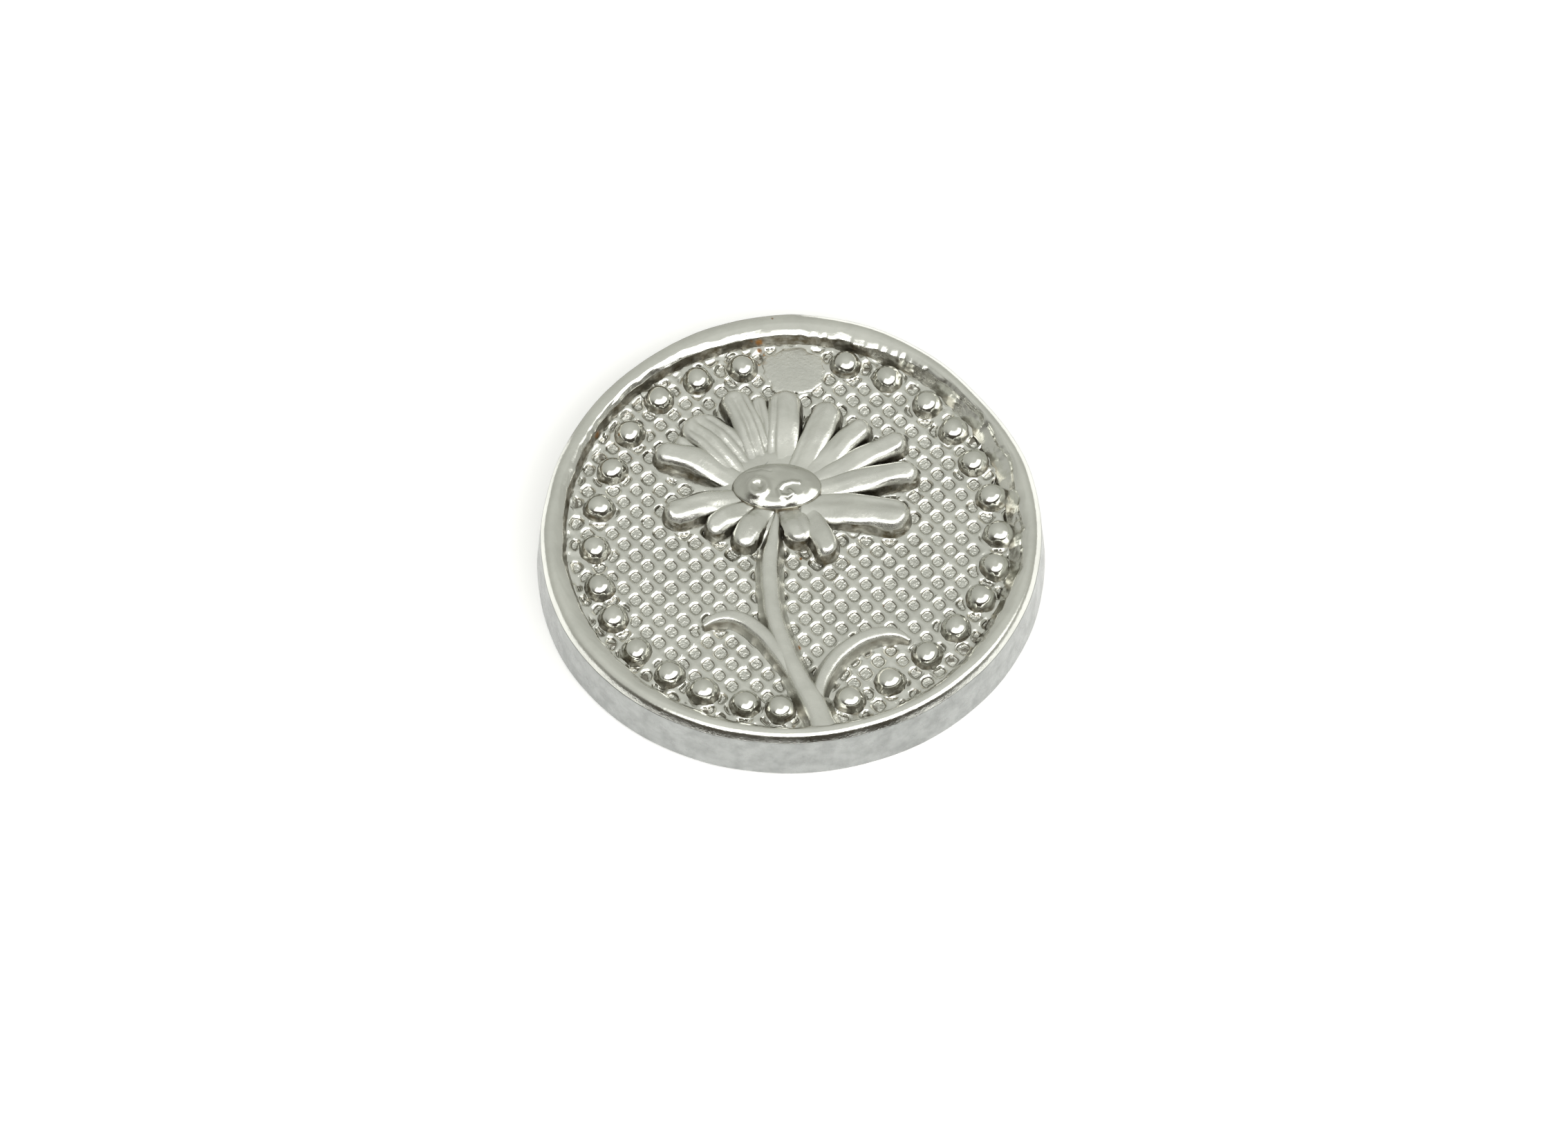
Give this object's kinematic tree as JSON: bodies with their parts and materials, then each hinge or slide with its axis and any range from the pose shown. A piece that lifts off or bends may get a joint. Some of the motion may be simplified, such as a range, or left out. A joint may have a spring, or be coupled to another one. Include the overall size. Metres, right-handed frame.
{
  "type": "transit token",
  "caption": "Round struck metal fare token with a raised rim, a beaded border and a daisy in relief on a dimpled field.",
  "frame": {"origin": "centre of the outline's box, on the underside", "axes": "+Z out of the struck face, +Y towards twelve o'clock on the face, +X to its right"},
  "size_m": [0.0204, 0.0202, 0.0027],
  "materials": {
    "edge_metal": "satin silver-coloured metal with fine upright grain and small nicks",
    "rim_metal": "worn smooth silver-coloured metal, soft polish, small dents",
    "field_metal": "struck satin metal, darker brown-grey tarnish in the dimples",
    "relief_metal": "bright worn high points, tarnish in the creases"
  },
  "bodies": {
    "root": {"blank": "edge_metal", "rim": "rim_metal", "dimpled_field": "field_metal", "bead_01": "relief_metal", "bead_02": "relief_metal", "bead_03": "relief_metal", "bead_04": "relief_metal", "bead_05": "relief_metal", "bead_06": "relief_metal", "bead_07": "relief_metal", "bead_08": "relief_metal", "bead_09": "relief_metal", "bead_10": "relief_metal", "bead_11": "relief_metal", "bead_12": "relief_metal", "bead_13": "relief_metal", "bead_14": "relief_metal", "bead_15": "relief_metal", "bead_16": "relief_metal", "bead_17": "relief_metal", "bead_18": "relief_metal", "bead_19": "relief_metal", "bead_20": "relief_metal", "bead_21": "relief_metal", "bead_22": "relief_metal", "bead_23": "relief_metal", "bead_24": "relief_metal", "bead_25": "relief_metal", "bead_26": "relief_metal", "bead_27": "relief_metal", "smooth_pad": "relief_metal", "flower_centre": "relief_metal", "petal_01": "relief_metal", "petal_02": "relief_metal", "petal_03": "relief_metal", "petal_04": "relief_metal", "petal_05": "relief_metal", "petal_06": "relief_metal", "petal_07": "relief_metal", "petal_08": "relief_metal", "petal_09": "relief_metal", "petal_10": "relief_metal", "petal_11": "relief_metal", "petal_12": "relief_metal", "petal_13": "relief_metal", "petal_14": "relief_metal", "petal_15": "relief_metal", "petal_16": "relief_metal", "stem": "relief_metal", "leaf_left": "relief_metal", "leaf_right": "relief_metal"}
  },
  "joints": []
}
